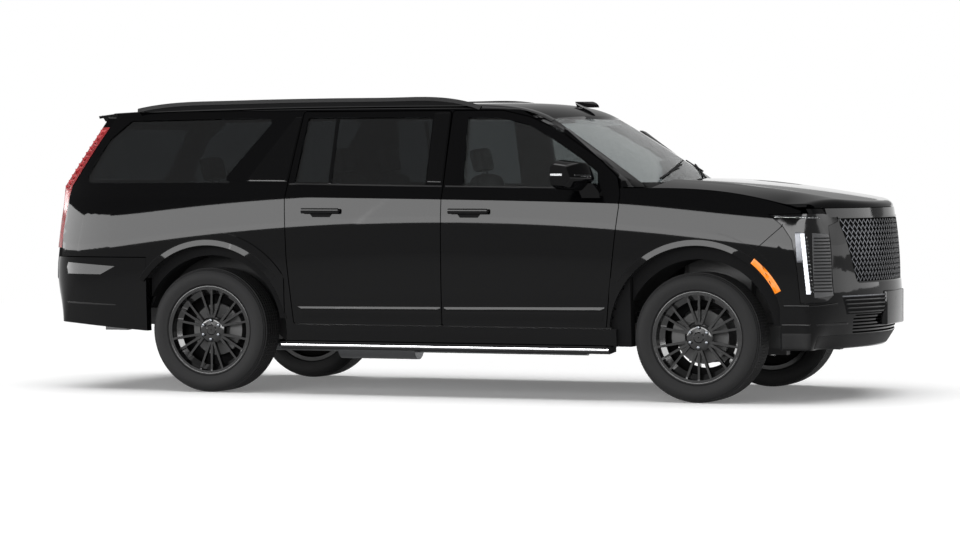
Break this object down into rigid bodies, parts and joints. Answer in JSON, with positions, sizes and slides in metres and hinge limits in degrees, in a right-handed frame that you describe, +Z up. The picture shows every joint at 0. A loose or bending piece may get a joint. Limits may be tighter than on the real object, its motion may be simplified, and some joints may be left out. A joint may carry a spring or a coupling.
{
  "type": "sport utility vehicle",
  "caption": "Long-wheelbase sport utility vehicle with side doors, hood, liftgate, steered front wheels and rolling wheels on a ladder frame.",
  "frame": {"origin": "on the ground, midway along the overall length, on the centre plane", "axes": "+X forwards, +Y to the vehicle's left, +Z up"},
  "size_m": [5.7624, 2.37, 1.9684],
  "materials": {
    "paint": "gloss black clearcoat",
    "gloss_black": "gloss black trim",
    "trim": "grained black moulding",
    "glass": "dark tinted",
    "screen_glass": "clear laminated",
    "lamp_lens": "clear moulded lens",
    "tail_lens": "red and clear moulded lens",
    "tyre": "black sidewall",
    "wheel": "gloss black alloy",
    "chassis": "black chassis coat",
    "cast": "machined and cast",
    "leather": "stitched black hide",
    "cabin": "soft-touch moulding",
    "steel": "aluminised steel"
  },
  "bodies": {
    "root": {"antenna": "gloss_black", "body_side_left": "paint", "body_side_right": "paint", "bumper_front": "paint", "bumper_rear": "paint", "cowl": "trim", "dashboard": "cabin", "engine": "cast", "exhaust": "steel", "fender_left": "paint", "fender_right": "paint", "floor": "trim", "frame": "chassis", "front_seats": "leather", "grille": "gloss_black", "headlamps": "lamp_lens", "quarter_glass": "glass", "rear_axle": "cast", "roof": "paint", "roof_rails": "gloss_black", "running_boards": "trim", "second_seats": "leather", "tail_lamps": "tail_lens", "third_seat": "leather", "windscreen": "screen_glass"},
    "door_front_left": {"front_door_left": "paint", "front_door_glass_left": "glass", "mirror_left": "paint"},
    "door_rear_left": {"rear_door_left": "paint", "rear_door_glass_left": "glass"},
    "knuckle_left": {"knuckle_left": "cast"},
    "wheel_front_left": {"tyre_front_left": "tyre", "rim_front_left": "wheel"},
    "wheel_rear_left": {"tyre_rear_left": "tyre", "rim_rear_left": "wheel"},
    "door_front_right": {"front_door_right": "paint", "front_door_glass_right": "glass", "mirror_right": "paint"},
    "door_rear_right": {"rear_door_right": "paint", "rear_door_glass_right": "glass"},
    "knuckle_right": {"knuckle_right": "cast"},
    "wheel_front_right": {"tyre_front_right": "tyre", "rim_front_right": "wheel"},
    "wheel_rear_right": {"tyre_rear_right": "tyre", "rim_rear_right": "wheel"},
    "hood": {"hood": "paint"},
    "liftgate": {"liftgate": "paint", "liftgate_glass": "glass", "spoiler": "paint"},
    "steering_wheel": {"steering_wheel": "leather"}
  },
  "joints": [
    {"name": "door_front_left_hinge", "type": "hinge", "parent": "root", "child": "door_front_left", "pos_m": [1.311, 1.02, 0.9], "axis": [0, 0, -1], "range_deg": [0, 68]},
    {"name": "door_rear_left_hinge", "type": "hinge", "parent": "root", "child": "door_rear_left", "pos_m": [0.092, 1.02, 0.9], "axis": [0, 0, -1], "range_deg": [0, 68]},
    {"name": "door_front_right_hinge", "type": "hinge", "parent": "root", "child": "door_front_right", "pos_m": [1.311, -1.02, 0.9], "axis": [0, 0, 1], "range_deg": [0, 68]},
    {"name": "door_rear_right_hinge", "type": "hinge", "parent": "root", "child": "door_rear_right", "pos_m": [0.092, -1.02, 0.9], "axis": [0, 0, 1], "range_deg": [0, 68]},
    {"name": "hood_hinge", "type": "hinge", "parent": "root", "child": "hood", "pos_m": [1.44, 0, 1.33], "axis": [0, -1, 0], "range_deg": [0, 45]},
    {"name": "liftgate_hinge", "type": "hinge", "parent": "root", "child": "liftgate", "pos_m": [-2.412, 0, 1.9], "axis": [0, 1, 0], "range_deg": [0, 80]},
    {"name": "steer_left", "type": "hinge", "parent": "root", "child": "knuckle_left", "pos_m": [1.832, 0.76, 0.417], "axis": [0, 0, 1], "range_deg": [-34, 34]},
    {"name": "steer_right", "type": "hinge", "parent": "root", "child": "knuckle_right", "pos_m": [1.832, -0.76, 0.417], "axis": [0, 0, 1], "range_deg": [-34, 34]},
    {"name": "steering_wheel_turn", "type": "hinge", "parent": "root", "child": "steering_wheel", "pos_m": [0.881, 0.38, 1.165], "axis": [-0.92, 0, 0.392], "range_deg": [-510, 510]},
    {"name": "wheel_front_left_spin", "type": "hinge", "parent": "knuckle_left", "child": "wheel_front_left", "pos_m": [1.832, 0.871, 0.417], "axis": [0, 1, 0], "continuous": true},
    {"name": "wheel_front_right_spin", "type": "hinge", "parent": "knuckle_right", "child": "wheel_front_right", "pos_m": [1.832, -0.871, 0.417], "axis": [0, 1, 0], "continuous": true},
    {"name": "wheel_rear_left_spin", "type": "hinge", "parent": "root", "child": "wheel_rear_left", "pos_m": [-1.575, 0.871, 0.417], "axis": [0, 1, 0], "continuous": true},
    {"name": "wheel_rear_right_spin", "type": "hinge", "parent": "root", "child": "wheel_rear_right", "pos_m": [-1.575, -0.871, 0.417], "axis": [0, 1, 0], "continuous": true}
  ],
  "couplings": [
    {"joint": "steer_right", "follows": "steer_left", "ratio": 1},
    {"joint": "steering_wheel_turn", "follows": "steer_left", "ratio": 14}
  ]
}
